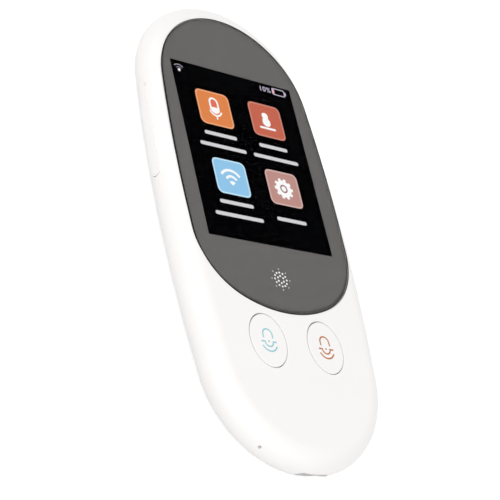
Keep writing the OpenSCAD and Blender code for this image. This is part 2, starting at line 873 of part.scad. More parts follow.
// The part of a ring that lies below y = top
module half_ring(r, line, top) {
    intersection() {
        difference() {
            circle(r = r + line / 2);
            circle(r = r - line / 2);
        }
        translate([-r - line, top - 2 * r]) square([2 * r + 2 * line, 2 * r]);
    }
}

module talk_button(side) {
    translate([side * button_x, button_y, 0])
        difference() {
            union() {
                translate([0, 0, rim_z + rim_t / 2])
                    linear_extrude(body_t - rim_z - rim_t / 2)
                        polygon(oval(button_w, button_l));
                translate([0, 0, rim_z])
                    linear_extrude(rim_t)
                        polygon(oval(button_w + 2 * button_rim, button_l + 2 * button_rim));
                translate([0, 0, plunger_top + layer_gap])
                    cylinder(h = rim_z + rim_t / 2 - plunger_top - layer_gap, r = plunger_r + foot_margin);
            }
            translate([0, 0, body_t - mark_t - layer_gap])
                linear_extrude(body_t)
                    mark_shape(2 * layer_gap);
        }
}

module left_talk_button() {
    color(shell_white) talk_button(-1);
}

module right_talk_button() {
    color(shell_white) talk_button(1);
}

module button_mark(side) {
    translate([side * button_x, button_y, body_t - mark_t])
        linear_extrude(mark_t)
            mark_shape(0);
}

module left_button_mark() {
    color(mark_blue) button_mark(-1);
}

module right_button_mark() {
    color(mark_orange) button_mark(1);
}

module talk_switches() {
    color(part_black)
        for (s = [-1, 1])
            translate([s * button_x, button_y, board_top])
                difference() {
                    translate([-talk_switch_w / 2, -talk_switch_w / 2, 0])
                        cube([talk_switch_w, talk_switch_w, talk_switch_h]);
                    translate([0, 0, talk_switch_floor])
                        cylinder(h = talk_switch_h, r = plunger_r + plunger_gap);
                }
}

module switch_plunger(side) {
    translate([side * button_x, button_y, plunger_low])
        cylinder(h = plunger_top - plunger_low, r = plunger_r);
}

module left_switch_plunger() {
    color("gold") switch_plunger(-1);
}

module right_switch_plunger() {
    color("gold") switch_plunger(1);
}

// Side keys
module key_nub(y) {
    translate([rim_back - key_rim_t / 2, y - nub_w / 2, rim_low])
        cube([switch_x - key_travel - stop_gap - rim_back + key_rim_t / 2, nub_w, nub_h]);
}

module side_switch(y) {
    translate([switch_x, y - side_switch_w / 2, board_top])
        cube([side_switch_l, side_switch_w, side_switch_h]);
}

module volume_rocker() {
    color(shell_white)
        difference() {
            union() {
                intersection() {
                    on_left_side(key_y)
                        key_bar(rocker_l, key_h, -2 * past, rim_back - key_rim_t / 2);
                    upper_body(-key_proud);
                }
                on_left_side(key_y) {
                    key_rim_bar(rocker_l);
                    translate([pin_x, 0, rim_low])
                        cylinder(h = rim_high - rim_low, r = pin_eye_r);
                    key_nub(-switch_arm);
                    key_nub(switch_arm);
                }
            }
            pin_place()
                translate([0, 0, rim_low - past])
                    cylinder(h = body_t, r = pin_r + pin_gap);
        }
}

module rocker_pin() {
    color("silver")
        pin_place()
            translate([0, 0, rim_low])
                cylinder(h = pin_high - layer_gap - rim_low, r = pin_r);
}

module volume_switches() {
    color(part_black)
        on_left_side(key_y) {
            side_switch(-switch_arm);
            side_switch(switch_arm);
        }
}

module power_key() {
    color(shell_white)
        union() {
            intersection() {
                on_right_side(key_y)
                    key_bar(power_l, key_h, -2 * past, rim_back - key_rim_t / 2);
                upper_body(-key_proud);
            }
            on_right_side(key_y) {
                key_rim_bar(power_l);
                key_nub(0);
            }
        }
}

module power_switch() {
    color(part_black)
        on_right_side(key_y)
            side_switch(0);
}

// Sound
module speaker() {
    color(part_black)
        difference() {
            translate([-speaker_w / 2, speaker_y - speaker_l / 2, speaker_z])
                cube([speaker_w, speaker_l, speaker_t]);
            translate([0, speaker_y, speaker_z + speaker_t - cone_depth])
                cylinder(h = past, r = speaker_l / 2 - cone_rim);
        }
}

module speaker_gasket() {
    color(part_black)
        translate([0, speaker_y, wall_z - gasket_t])
            linear_extrude(gasket_t)
                difference() {
                    square([speaker_w, speaker_l], center = true);
                    circle(r = speaker_l / 2 - cone_rim);
                }
}

module speaker_contacts() {
    color("gold")
        for (s = [-1, 1])
            translate([s * (speaker_w / 2 - contact_inset), speaker_y, (board_top + speaker_z) / 2])
                cube([contact_w, contact_l, speaker_z - board_top], center = true);
}

boot_x = wall + boot_gap;
mic_x = boot_x + boot_l + stop_gap;

module mic_boot() {
    translate([boot_x, -boot_w / 2, boot_z])
        difference() {
            cube([boot_l, boot_w, mic_z + boot_rise - boot_z]);
            translate([-past, boot_w / 2, mic_z - boot_z])
                rotate([0, 90, 0])
                    cylinder(h = past + boot_l * 0.75, r = mic_hole_r);
        }
}

module mic_boots() {
    color(part_black) {
        on_left_side(side_mic_y)
            mic_boot();
        at_low_mic()
            mic_boot();
    }
}

module microphone() {
    translate([mic_x, -mic_w / 2, board_top])
        cube([mic_l, mic_w, mic_t]);
}

module microphones() {
    color("gold") {
        on_left_side(side_mic_y)
            microphone();
        at_low_mic()
            microphone();
    }
}

// Board and what it carries
module main_board() {
    color(board_green)
        difference() {
            translate([0, 0, board_z])
                linear_extrude(board_t)
                    intersection() {
                        polygon(barrel(board_inset));
                        translate([-half_w, board_low])
                            square([body_w, board_high - board_low]);
                    }
            translate([-usb_w / 2 - usb_gap, -half_l, board_z - past])
                cube([usb_w + 2 * usb_gap, usb_depth + usb_l + usb_gap, board_t + 2 * past]);
            at_corners(screw_x, screw_y)
                translate([0, 0, board_z - past])
                    cylinder(h = board_t + 2 * past, r = screw_r + screw_play);
            at_board_screws()
                translate([0, 0, board_z - past])
                    cylinder(h = board_t + 2 * past, r = board_screw_r + screw_play);
        }
}

module board_screws() {
    color("silver")
        at_board_screws() {
            translate([0, 0, board_z - board_head_t])
                cylinder(h = board_head_t, r = board_head_r);
            translate([0, 0, board_z])
                cylinder(h = board_t + board_drop - screw_short, r = board_screw_r);
        }
}

// A block that hangs under the board, with its middle at x and y
module under_board(x, y, w, l, t) {
    translate([x - w / 2, y - l / 2, board_z - t])
        cube([w, l, t]);
}

module processor() {
    color(part_black)
        under_board(-(chip_gap + processor_w) / 2, chip_y, processor_w, processor_w, processor_t);
}

module memory_chip() {
    color(part_black)
        under_board((chip_gap + memory_w) / 2, chip_y, memory_w, memory_l, memory_t);
}

module shield_can() {
    color("silver")
        difference() {
            under_board(0, chip_y, can_w, can_l, can_t);
            translate([0, 0, can_sheet])
                under_board(0, chip_y, can_w - 2 * can_sheet, can_l - 2 * can_sheet, can_t);
        }
}

module power_chip() {
    color(part_black)
        under_board(0, usb_mouth + usb_l + power_chip_gap + power_chip_w / 2,
            power_chip_w, power_chip_w, power_chip_t);
}

module wifi_antenna() {
    color(part_cream)
        translate([-antenna_w / 2, board_high - antenna_gap - antenna_l, board_top])
            cube([antenna_w, antenna_l, antenna_t]);
}

module usb_socket() {
    color("silver")
        translate([0, usb_mouth, usb_z])
            difference() {
                usb_shape(0, usb_l);
                translate([0, -past, 0])
                    usb_shape(-usb_sheet, usb_l + past - usb_back);
            }
}

module usb_tongue() {
    color(part_black)
        translate([-usb_tongue_w / 2, usb_mouth + usb_tongue_depth, usb_z - usb_tongue_t / 2])
            cube([usb_tongue_w, usb_l - usb_tongue_depth - usb_back, usb_tongue_t]);
}

// Battery
module battery() {
    color([0.55, 0.57, 0.6])
        translate([-battery_w / 2, battery_y, battery_z])
            cube([battery_w, battery_l, battery_t]);
}

module battery_pad() {
    color(part_black)
        translate([-battery_w / 2 + pad_margin, battery_y + pad_margin, wall])
            cube([battery_w - 2 * pad_margin, battery_l - 2 * pad_margin, pad_t]);
}

module battery_board() {
    color(board_green)
        translate([-battery_w / 2 + guard_margin, battery_y - guard_l, battery_z + guard_recess])
            cube([battery_w - 2 * guard_margin, guard_l, battery_t - 2 * guard_recess]);
}

module battery_leads() {
    color("firebrick")
        for (s = [-1, 1])
            translate([plug_x + s * lead_step / 2, battery_y - guard_l, battery_z + battery_t / 2])
                rotate([90, 0, 0])
                    cylinder(h = lead_l, r = lead_r);
}

module battery_plug() {
    color(part_cream)
        under_board(plug_x, plug_y - plug_l / 2, plug_w, plug_l, plug_t);
}

front_housing();
back_cover();
lens();
lens_print();
lens_adhesive();
grille_mesh();
optical_bond();
display_panel();
backlight();
display_shield();
display_flex();
display_connector();
left_talk_button();
right_talk_button();
left_button_mark();
right_button_mark();
talk_switches();
left_switch_plunger();
right_switch_plunger();
volume_rocker();
rocker_pin();
volume_switches();
power_key();
power_switch();
speaker();
speaker_gasket();
speaker_contacts();
main_board();
board_screws();
cover_screws();
processor();
memory_chip();
shield_can();
power_chip();
wifi_antenna();
microphones();
mic_boots();
usb_socket();
usb_tongue();
battery();
battery_pad();
battery_board();
battery_leads();
battery_plug();
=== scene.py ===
"""Handheld translator: the finished look over the CAD frame."""

import json
import math

import bmesh
import bpy
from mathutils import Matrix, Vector

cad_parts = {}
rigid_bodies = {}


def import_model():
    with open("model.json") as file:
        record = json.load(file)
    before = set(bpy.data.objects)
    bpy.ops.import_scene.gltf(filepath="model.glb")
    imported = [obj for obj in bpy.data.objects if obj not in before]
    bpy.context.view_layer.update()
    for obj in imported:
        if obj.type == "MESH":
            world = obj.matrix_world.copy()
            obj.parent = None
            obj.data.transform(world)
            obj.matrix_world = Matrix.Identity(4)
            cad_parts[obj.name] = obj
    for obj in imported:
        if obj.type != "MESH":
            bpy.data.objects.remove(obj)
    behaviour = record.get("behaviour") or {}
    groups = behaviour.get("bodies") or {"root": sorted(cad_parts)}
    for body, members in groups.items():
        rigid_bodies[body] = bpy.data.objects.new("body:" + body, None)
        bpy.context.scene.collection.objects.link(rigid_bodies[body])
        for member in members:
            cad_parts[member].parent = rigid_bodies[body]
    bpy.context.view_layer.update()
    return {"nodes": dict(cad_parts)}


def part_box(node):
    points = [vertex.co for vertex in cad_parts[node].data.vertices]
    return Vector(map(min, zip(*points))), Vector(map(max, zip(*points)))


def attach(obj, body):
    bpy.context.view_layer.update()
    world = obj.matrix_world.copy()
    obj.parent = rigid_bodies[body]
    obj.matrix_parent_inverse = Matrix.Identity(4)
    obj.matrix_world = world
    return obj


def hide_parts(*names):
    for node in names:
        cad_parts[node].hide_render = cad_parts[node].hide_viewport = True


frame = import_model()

MM = 0.001

# The sizes from here to NUMBER_LIFT are in millimetres.
# Heights over the back face
BODY_TOP = 10.6
PANEL_TOP = 10.18
PRINT_TOP = 10.28
# The lens outline's arcs
SIDE_X, SIDE_Y, SIDE_R = 332.6, 4.9, 356.35
TOP_Y = 33.97
LOW_Y, LOW_R, CORNER_R = 6.9, 31.5, 18.2
# Talk buttons: their middles, half their width and length
BUTTON_X, BUTTON_Y = 8.6, -32.1
BUTTON_HALF_W, BUTTON_HALF_L = 5.2, 6.5
# Their rims: how near to 1 in from_button, from which height up, and how near to the top
RIM_INSIDE, RIM_OUTSIDE = 0.9, 1.1
RIM_BOTTOM = 8.6
RIM_TOP_REACH = 0.02
# Each rim gives up this much to the gap, and the caps sit this far off their middles
RIM_SPREAD = 0.04
CAP_SHIFT = (0.03, -0.04)
# Rounding of the upper edges round the openings and on the caps
OPENING_ROUND, CAP_ROUND = 0.16, 0.2
# Half the width and length of the field that holds a button's sign
SIGN_HALF_W, SIGN_HALF_L = 3.0, 3.6
# Sign lines: how far their faces move out, the two depths whose ratio squeezes them, and
# the level over their lowest point that stays in place
LINE_FATTEN = 0.07
LINE_DEPTH_BEFORE, LINE_DEPTH, LINE_LEVEL = 0.29, 0.158, 0.075
# How far a sign's small dot reaches from the sign's middle
DOT_REACH = 0.3
# Side keys: the height of their middle, what they gain in length, and their stretch in height
KEY_MIDDLE = 6.3
KEY_GROW = 0.1
KEY_STRETCH = 1.11
# Sound grille: its middle, and how far the drilled holes in the glass reach from it
GRILLE_Y = -15.7
GRILLE_REACH = 5.0
# Painted shade under the lens edge, a dark band for the shaded edge of the glass: its two
# distances from that edge, its height over the print, its thickness, and how much it widens at
# the lower end
SHADE_OUTER, SHADE_INNER = 0.1, 0.3
SHADE_LIFT, SHADE_THICK = 0.004, 0.01
SHADE_WIDEN = 0.7
# Mesh disc behind the side microphone hole: middle, radius, depth and rounding
SIDE_MIC = (-25.32, 33.55, 7.1)
DISC_R, DISC_DEPTH, DISC_ROUND = 0.41, 0.12, 0.03
# Heights and thicknesses of the menu's flat pieces
TILE_LEVEL = PANEL_TOP + 0.002
SIGN_LEVEL = PANEL_TOP + 0.009
FLAT_THICK, SIGN_THICK = 0.005, 0.003
# Menu tiles: rounding, width of the rim, and how far from the middle no face is of the rim
TILE_CORNER, TILE_RIM, TILE_FIELD = 1.5, 0.4, 2.0
# Number beside the battery: width, height, lower left corner, and height over the signs' level
NUMBER_W, NUMBER_H = 3.35, 1.45
NUMBER_AT = (8.5, 38.35)
NUMBER_LIFT = 0.003

# Faces that meet within the first angle are joined and within the second are shaded as one
# curve, and a rim's edge is an edge over the third
FLAT_ANGLE, SMOOTH_ANGLE, SHARP_ANGLE = math.radians(0.3), math.radians(30), math.radians(60)
# Faces of the glass whose normal points up by less than this belong to its edge, which gets
# painted shade
EDGE_NORMAL = 0.95
# Turn of the side microphone hole about the upright axis
SIDE_MIC_TURN = math.radians(84.65)


# ---------- working by hand ----------


def deselect_all():
    bpy.ops.object.select_all(action="DESELECT")


def take(piece):
    """Selects only this piece."""
    deselect_all()
    piece.select_set(True)
    bpy.context.view_layer.objects.active = piece


def open_mesh(piece):
    take(piece)
    bpy.ops.object.mode_set(mode="EDIT")
    bpy.ops.mesh.select_all(action="SELECT")


def close_mesh():
    bpy.ops.object.mode_set(mode="OBJECT")


def pick(piece, kind, test):
    """Selects the open mesh's vertices, edges or faces that pass the test."""
    bpy.ops.mesh.select_mode(type=kind)
    bpy.ops.mesh.select_all(action="DESELECT")
    mesh = bmesh.from_edit_mesh(piece.data)
    parts = {"VERT": mesh.verts, "EDGE": mesh.edges, "FACE": mesh.faces}[kind]
    for part in parts:
        part.select = test(part)
    bmesh.update_edit_mesh(piece.data)


def place(piece, name, body, slot, *finishes):
    """Names a piece, gives it its finishes and sets it on its CAD body."""
    take(piece)
    bpy.ops.object.transform_apply(location=True, rotation=True, scale=True)
    piece.name = piece.data.name = name
    piece.data.materials.clear()
    for finish in finishes:
        piece.data.materials.append(finish)
    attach(piece, body)
    return piece


def dressed_copy(node, name, body, slot, *finishes, shape=None):
    """A merged, smoothed copy of a CAD node, which stands for the node."""
    piece = bpy.data.objects.new(name, frame["nodes"][node].data.copy())
    bpy.context.scene.collection.objects.link(piece)
    open_mesh(piece)
    bpy.ops.mesh.customdata_custom_splitnormals_clear()
    bpy.ops.mesh.remove_doubles(threshold=1e-6)
    if shape:
        shape(piece)
    close_mesh()
    bpy.ops.object.shade_smooth_by_angle(angle=SMOOTH_ANGLE)
    place(piece, name, body, slot, *finishes)
    bpy.ops.object.modifier_add(type="WEIGHTED_NORMAL")
    piece.modifiers[-1].keep_sharp = True
    bpy.ops.object.modifier_apply(modifier=piece.modifiers[-1].name)
    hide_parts(node)
    return piece


# ---------- camera, lights and floor ----------


def set_camera():
    data = bpy.data.cameras.new("camera")
    data.lens = 112.5763
    data.sensor_width = 36
    data.clip_start = 0.01
    camera = bpy.data.objects.new("camera", data)
    camera.location = (-0.2333188, -0.1636949, 0.2354786)
    turns = (36.020998, -38.203624, -15.236332)
    camera.rotation_euler = [math.radians(turn) for turn in turns]
    bpy.context.scene.collection.objects.link(camera)
    bpy.context.scene.camera = camera


def soft_lamp(name, place_at, size, power):
    """A square area lamp that looks at the middle of the device."""
    data = bpy.data.lights.new(name, "AREA")
    data.size = size
    data.energy = power
    lamp = bpy.data.objects.new(name, data)
    lamp.location = place_at
    lamp.rotation_euler = (-Vector(place_at)).to_track_quat("-Z", "Y").to_euler()
    bpy.context.scene.collection.objects.link(lamp)


def seen_level(nodes, links, unseen, seen):
    """One strength for what the camera, a reflection or glass sees, and another for lighting."""
    path = nodes.new("ShaderNodeLightPath")
    direct = nodes.new("ShaderNodeMath")
    direct.operation = "MAXIMUM"
    through = nodes.new("ShaderNodeMath")
    through.operation = "MAXIMUM"
    level = nodes.new("ShaderNodeMapRange")
    level.inputs["To Min"].default_value = unseen
    level.inputs["To Max"].default_value = seen
    links.new(path.outputs["Is Camera Ray"], direct.inputs[0])
    links.new(path.outputs["Is Glossy Ray"], direct.inputs[1])
    links.new(direct.outputs[0], through.inputs[0])
    links.new(path.outputs["Is Transmission Ray"], through.inputs[1])
    links.new(through.outputs[0], level.inputs["Value"])
    return level.outputs["Result"]


def set_studio():
    scene = bpy.context.scene
    scene.view_settings.view_transform = "Standard"
    world = bpy.data.worlds.new("studio")
    scene.world = world
    world.use_nodes = True
    nodes, links = world.node_tree.nodes, world.node_tree.links
    sky = nodes["Background"]
    sky.inputs["Color"].default_value = (1, 1, 1, 1)
    strength = seen_level(nodes, links, unseen=0.74, seen=1.0)
    links.new(strength, sky.inputs["Strength"])
    soft_lamp("key lamp", (-0.85, -0.3, 0.5), 0.8, 3.1)
    soft_lamp("fill lamp", (0.1, -0.85, 0.5), 0.8, 1.6)
    soft_lamp("far lamp", (-0.45, 0.75, 0.7), 0.5, 1.6)


def set_floor():
    """A pale floor that keeps the device's shadow, just under its back face."""
    bpy.ops.mesh.primitive_plane_add(size=6, location=(0, 0, -0.03 * MM))
    floor = bpy.context.object
    floor.name = "floor"
    finish = bpy.data.materials.new("pale floor")
    finish.use_nodes = True
    nodes, links = finish.node_tree.nodes, finish.node_tree.links
    shader = nodes["Principled BSDF"]
    shader.inputs["Base Color"].default_value = (0.65, 0.65, 0.65, 1)
    shader.inputs["Roughness"].default_value = 0.9
    shader.inputs["Specular IOR Level"].default_value = 0.0
    shader.inputs["Emission Color"].default_value = (1, 1, 1, 1)
    glow = seen_level(nodes, links, unseen=0.0, seen=0.6)
    links.new(glow, shader.inputs["Emission Strength"])
    floor.data.materials.append(finish)


# ---------- shared effects ----------


def new_effect(name, inputs, outputs):
    """An empty node group with its named inputs and outputs."""
    group = bpy.data.node_groups.new(name, "ShaderNodeTree")
    for label, kind, value in inputs:
        made = group.interface.new_socket(name=label, in_out="INPUT", socket_type=kind)
        made.default_value = value
    for label, kind in outputs:
        group.interface.new_socket(name=label, in_out="OUTPUT", socket_type=kind)
    nodes = group.nodes
    return group, nodes.new("NodeGroupInput"), nodes.new("NodeGroupOutput"), nodes, group.links


COLOUR, NUMBER = "NodeSocketColor", "NodeSocketFloat"


def make_moulded_grain():
    """Fine moulded grain: a faint change of tone, of sheen and of height."""
    group, given, out, nodes, links = new_effect(
        "moulded grain",
        [
            ("Light", COLOUR, (1, 1, 1, 1)),
            ("Dark", COLOUR, (0.9, 0.9, 0.9, 1)),
            ("Tone Size", NUMBER, 90.0),
            ("Grain Size", NUMBER, 5000.0),
            ("Smooth", NUMBER, 0.4),
            ("Rough", NUMBER, 0.5),
        ],
        [("Colour", COLOUR), ("Roughness", NUMBER), ("Height", NUMBER)],
    )
    where = nodes.new("ShaderNodeTexCoord")
    tone = nodes.new("ShaderNodeTexNoise")
    tone.inputs["Detail"].default_value = 3
    grain = nodes.new("ShaderNodeTexNoise")
    grain.inputs["Detail"].default_value = 2
    mix = nodes.new("ShaderNodeMix")
    mix.data_type = "RGBA"
    sheen = nodes.new("ShaderNodeMapRange")
    for texture, size in ((tone, "Tone Size"), (grain, "Grain Size")):
        links.new(where.outputs["Object"], texture.inputs["Vector"])
        links.new(given.outputs[size], texture.inputs["Scale"])
    links.new(tone.outputs["Fac"], mix.inputs["Factor"])
    links.new(given.outputs["Light"], mix.inputs["A"])
    links.new(given.outputs["Dark"], mix.inputs["B"])
    links.new(grain.outputs["Fac"], sheen.inputs["Value"])
    links.new(given.outputs["Smooth"], sheen.inputs["To Min"])
    links.new(given.outputs["Rough"], sheen.inputs["To Max"])
    links.new(mix.outputs["Result"], out.inputs["Colour"])
    links.new(sheen.outputs["Result"], out.inputs["Roughness"])
    links.new(grain.outputs["Fac"], out.inputs["Height"])
    return group


def make_drawn_metal():
    """Fine draw lines along X, in tone, sheen and height."""
    group, given, out, nodes, links = new_effect(
        "drawn metal",
        [
            ("Light", COLOUR, (0.8, 0.8, 0.8, 1)),
            ("Dark", COLOUR, (0.5, 0.5, 0.5, 1)),
            ("Line Size", NUMBER, 3000.0),
        ],
        [("Colour", COLOUR), ("Roughness", NUMBER), ("Height", NUMBER)],
    )
    where = nodes.new("ShaderNodeTexCoord")
    stretch = nodes.new("ShaderNodeMapping")
    stretch.inputs["Scale"].default_value = (0.04, 1, 1)
    lines = nodes.new("ShaderNodeTexNoise")
    mix = nodes.new("ShaderNodeMix")
    mix.data_type = "RGBA"
    sheen = nodes.new("ShaderNodeMapRange")
    sheen.inputs["To Min"].default_value = 0.22
    sheen.inputs["To Max"].default_value = 0.42
    links.new(where.outputs["Object"], stretch.inputs["Vector"])
    links.new(stretch.outputs["Vector"], lines.inputs["Vector"])
    links.new(given.outputs["Line Size"], lines.inputs["Scale"])
    links.new(lines.outputs["Fac"], mix.inputs["Factor"])
    links.new(given.outputs["Light"], mix.inputs["A"])
    links.new(given.outputs["Dark"], mix.inputs["B"])
    links.new(lines.outputs["Fac"], sheen.inputs["Value"])
    links.new(mix.outputs["Result"], out.inputs["Colour"])
    links.new(sheen.outputs["Result"], out.inputs["Roughness"])
    links.new(lines.outputs["Fac"], out.inputs["Height"])
    return group


def make_pixel_rows():
    """Rows and columns of fine display pixels, as a slight change of colour."""
    group, given, out, nodes, links = new_effect(
        "pixel rows",
        [("Lit", COLOUR, (1, 1, 1, 1)), ("Between", COLOUR, (0.9, 0.9, 0.9, 1))],
        [("Colour", COLOUR)],
    )
    where = nodes.new("ShaderNodeTexCoord")
    pixels = nodes.new("ShaderNodeTexBrick")
    pixels.offset = 0.0
    pixels.inputs["Scale"].default_value = 6300.0
    pixels.inputs["Mortar Size"].default_value = 0.06
    pixels.inputs["Brick Width"].default_value = 1.0
    pixels.inputs["Row Height"].default_value = 1.0
    links.new(where.outputs["Object"], pixels.inputs["Vector"])
    links.new(given.outputs["Lit"], pixels.inputs["Color1"])
    links.new(given.outputs["Lit"], pixels.inputs["Color2"])
    links.new(given.outputs["Between"], pixels.inputs["Mortar"])
    links.new(pixels.outputs["Color"], out.inputs["Colour"])
    return group


MOULDED_GRAIN = make_moulded_grain()
DRAWN_METAL = make_drawn_metal()
PIXEL_ROWS = make_pixel_rows()


# ---------- finishes ----------


def new_finish(name):
    finish = bpy.data.materials.new(name)
    finish.use_nodes = True
    tree = finish.node_tree
    return finish, tree.nodes["Principled BSDF"], tree.nodes, tree.links


def add_bump(shader, height, nodes, links, depth):
    bump = nodes.new("ShaderNodeBump")
    bump.inputs["Strength"].default_value = 0.5
    bump.inputs["Distance"].default_value = depth * MM
    links.new(height, bump.inputs["Height"])
    links.new(bump.outputs["Normal"], shader.inputs["Normal"])


def moulded(name, light, dark, smooth, rough, tone=90.0, grain=5000.0, depth=0.02, gloss=0.5):
    """A moulded plastic, rubber or print with fine grain."""
    finish, shader, nodes, links = new_finish(name)
    effect = nodes.new("ShaderNodeGroup")
    effect.node_tree = MOULDED_GRAIN
    effect.inputs["Light"].default_value = (*light, 1)
    effect.inputs["Dark"].default_value = (*dark, 1)
    effect.inputs["Tone Size"].default_value = tone
    effect.inputs["Grain Size"].default_value = grain
    effect.inputs["Smooth"].default_value = smooth
    effect.inputs["Rough"].default_value = rough
    shader.inputs["Specular IOR Level"].default_value = gloss
    links.new(effect.outputs["Colour"], shader.inputs["Base Color"])
    links.new(effect.outputs["Roughness"], shader.inputs["Roughness"])
    add_bump(shader, effect.outputs["Height"], nodes, links, depth)
    return finish


def metal(name, light, dark):
    """A drawn metal with fine lines."""
    finish, shader, nodes, links = new_finish(name)
    effect = nodes.new("ShaderNodeGroup")
    effect.node_tree = DRAWN_METAL
    effect.inputs["Light"].default_value = (*light, 1)
    effect.inputs["Dark"].default_value = (*dark, 1)
    shader.inputs["Metallic"].default_value = 1.0
    links.new(effect.outputs["Colour"], shader.inputs["Base Color"])
    links.new(effect.outputs["Roughness"], shader.inputs["Roughness"])
    add_bump(shader, effect.outputs["Height"], nodes, links, 0.01)
    return finish


def lit(name, colour):
    """A lit part of the menu, a little dimmer between its pixels."""
    finish, shader, nodes, links = new_finish(name)
    effect = nodes.new("ShaderNodeGroup")
    effect.node_tree = PIXEL_ROWS
    effect.inputs["Lit"].default_value = (*colour, 1)
    effect.inputs["Between"].default_value = (*[0.88 * c for c in colour], 1)
    shader.inputs["Base Color"].default_value = (0.004, 0.004, 0.004, 1)
    shader.inputs["Roughness"].default_value = 0.5
    shader.inputs["Specular IOR Level"].default_value = 0.0
    shader.inputs["Emission Strength"].default_value = 1.0
    links.new(effect.outputs["Colour"], shader.inputs["Emission Color"])
    return finish


def clear_glass(name, bend):
    """Clear glass that lets the lamps through to what lies under it."""
    finish, shader, nodes, links = new_finish(name)
    shader.inputs["Base Color"].default_value = (1, 1, 1, 1)
    shader.inputs["Transmission Weight"].default_value = 1.0
    shader.inputs["IOR"].default_value = bend
    grain = nodes.new("ShaderNodeTexNoise")
    where = nodes.new("ShaderNodeTexCoord")
    sheen = nodes.new("ShaderNodeMapRange")
    grain.inputs["Scale"].default_value = 60.0
    sheen.inputs["To Min"].default_value = 0.0
    sheen.inputs["To Max"].default_value = 0.012
    links.new(where.outputs["Object"], grain.inputs["Vector"])
    links.new(grain.outputs["Fac"], sheen.inputs["Value"])
    links.new(sheen.outputs["Result"], shader.inputs["Roughness"])
    path = nodes.new("ShaderNodeLightPath")
    open_air = nodes.new("ShaderNodeBsdfTransparent")
    mix = nodes.new("ShaderNodeMixShader")
    links.new(path.outputs["Is Shadow Ray"], mix.inputs["Fac"])
    links.new(shader.outputs["BSDF"], mix.inputs[1])
    links.new(open_air.outputs["BSDF"], mix.inputs[2])
    links.new(mix.outputs["Shader"], nodes["Material Output"].inputs["Surface"])
    return finish


FINISHES = {
    "white_shell": moulded(
        "white shell plastic", (0.945, 0.928, 0.918), (0.925, 0.908, 0.898),
        0.34, 0.46),
    "white_keys": moulded(
        "white key plastic", (0.945, 0.928, 0.918), (0.925, 0.908, 0.898),
        0.32, 0.42),
    "cover_glass": clear_glass("clear cover glass", 1.03),
    "grey_print": moulded(
        "grey lens print", (0.107, 0.1025, 0.101), (0.1, 0.0965, 0.095),
        0.5, 0.6, 60.0, 8000.0, 0.002, 0.02),
    "display": moulded(
        "black display panel", (0.0009, 0.0009, 0.0013), (0.0005, 0.0005, 0.0008),
        0.3, 0.4, 60.0, 6000.0, 0.002, 0.0),
    "white_mesh": moulded(
        "white grille mesh", (0.93, 0.93, 0.93), (0.8, 0.8, 0.8),
        0.6, 0.8, 3000.0, 9000.0, 0.03),
    "white_parts": moulded(
        "matt white plastic", (0.87, 0.87, 0.85), (0.82, 0.82, 0.8),
        0.5, 0.6),
    "cream_parts": moulded(
        "cream nylon", (0.82, 0.79, 0.7), (0.76, 0.73, 0.64),
        0.45, 0.6, 400.0),
    "black_parts": moulded(
        "black moulded resin", (0.035, 0.035, 0.038), (0.022, 0.022, 0.024),
        0.4, 0.6, 500.0),
    "black_rubber": moulded(
        "black rubber", (0.035, 0.035, 0.035), (0.022, 0.022, 0.022),
        0.6, 0.8, 600.0, 3000.0, 0.04),
    "black_foam": moulded(
        "black foam tape", (0.06, 0.06, 0.06), (0.025, 0.025, 0.025),
        0.8, 0.95, 2500.0, 3500.0, 0.12),
    "steel": metal("bright steel", (0.56, 0.57, 0.58), (0.43, 0.44, 0.45)),
    "brass_parts": metal("gold plated contacts", (0.86, 0.7, 0.34), (0.7, 0.55, 0.24)),
    "flex": moulded("amber film", (0.56, 0.31, 0.06), (0.42, 0.22, 0.04), 0.25, 0.4, 700.0),
    "circuit_board": moulded(
        "green solder mask", (0.025, 0.13, 0.06), (0.012, 0.07, 0.035),
        0.3, 0.5, 700.0, 2500.0, 0.03),
    "battery_wrap": moulded(
        "foil pouch", (0.45, 0.47, 0.5), (0.34, 0.36, 0.39),
        0.3, 0.5, 120.0, 900.0, 0.08),
    "lead_insulation": moulded(
        "red wire sleeve", (0.55, 0.035, 0.03), (0.42, 0.02, 0.02),
        0.4, 0.55, 300.0),
    "blue_mark": moulded(
        "light blue inlay", (0.33, 0.62, 0.68), (0.29, 0.58, 0.64),
        0.4, 0.5, 500.0),
    "orange_mark": moulded(
        "orange inlay", (0.5, 0.17, 0.04), (0.46, 0.155, 0.035),
        0.4, 0.5, 500.0),
}
CLEAR_BOND = clear_glass("clear bond", 1.0)
# Painted shade: opaque near-black for the lens's side faces, standing in for the dark look of a
# clear glass edge
PAINTED_GLASS_EDGE_SHADE = moulded(
    "painted glass edge shade", (0.008, 0.0075, 0.007), (0.005, 0.005, 0.005),
    0.4, 0.5, 300.0, 5000.0, 0.002, 0.1)
MARK_DOT = moulded("grey inlay dot", (0.42, 0.44, 0.46), (0.38, 0.4, 0.42), 0.4, 0.5, 500.0)
# Painted shade: darker than the grey print, for the shaded edge of the lens, widest at its lower
# end
PAINTED_EDGE_SHADE = moulded(
    "painted lens edge shade", (0.068, 0.062, 0.058), (0.055, 0.05, 0.047),
    0.4, 0.5, 300.0, 5000.0, 0.002, 0.1)


def dress_inner_nodes():
    """Every CAD node gets the finish of its slot."""
    for name, node in frame["nodes"].items():
        finish = FINISHES[node.data.materials[0].name.split(".")[0]]
        if name == "optical_bond":
            finish = CLEAR_BOND
        for slot in node.material_slots:
            slot.material = finish


# ---------- housing, keys and lens ----------


def from_button(point, side):
    """How far a point is from the middle of a talk button: 1 is at its rim."""
    across = (point.x - side * BUTTON_X * MM) / (BUTTON_HALF_W * MM)
    along = (point.y - BUTTON_Y * MM) / (BUTTON_HALF_L * MM)
    return math.hypot(across, along)


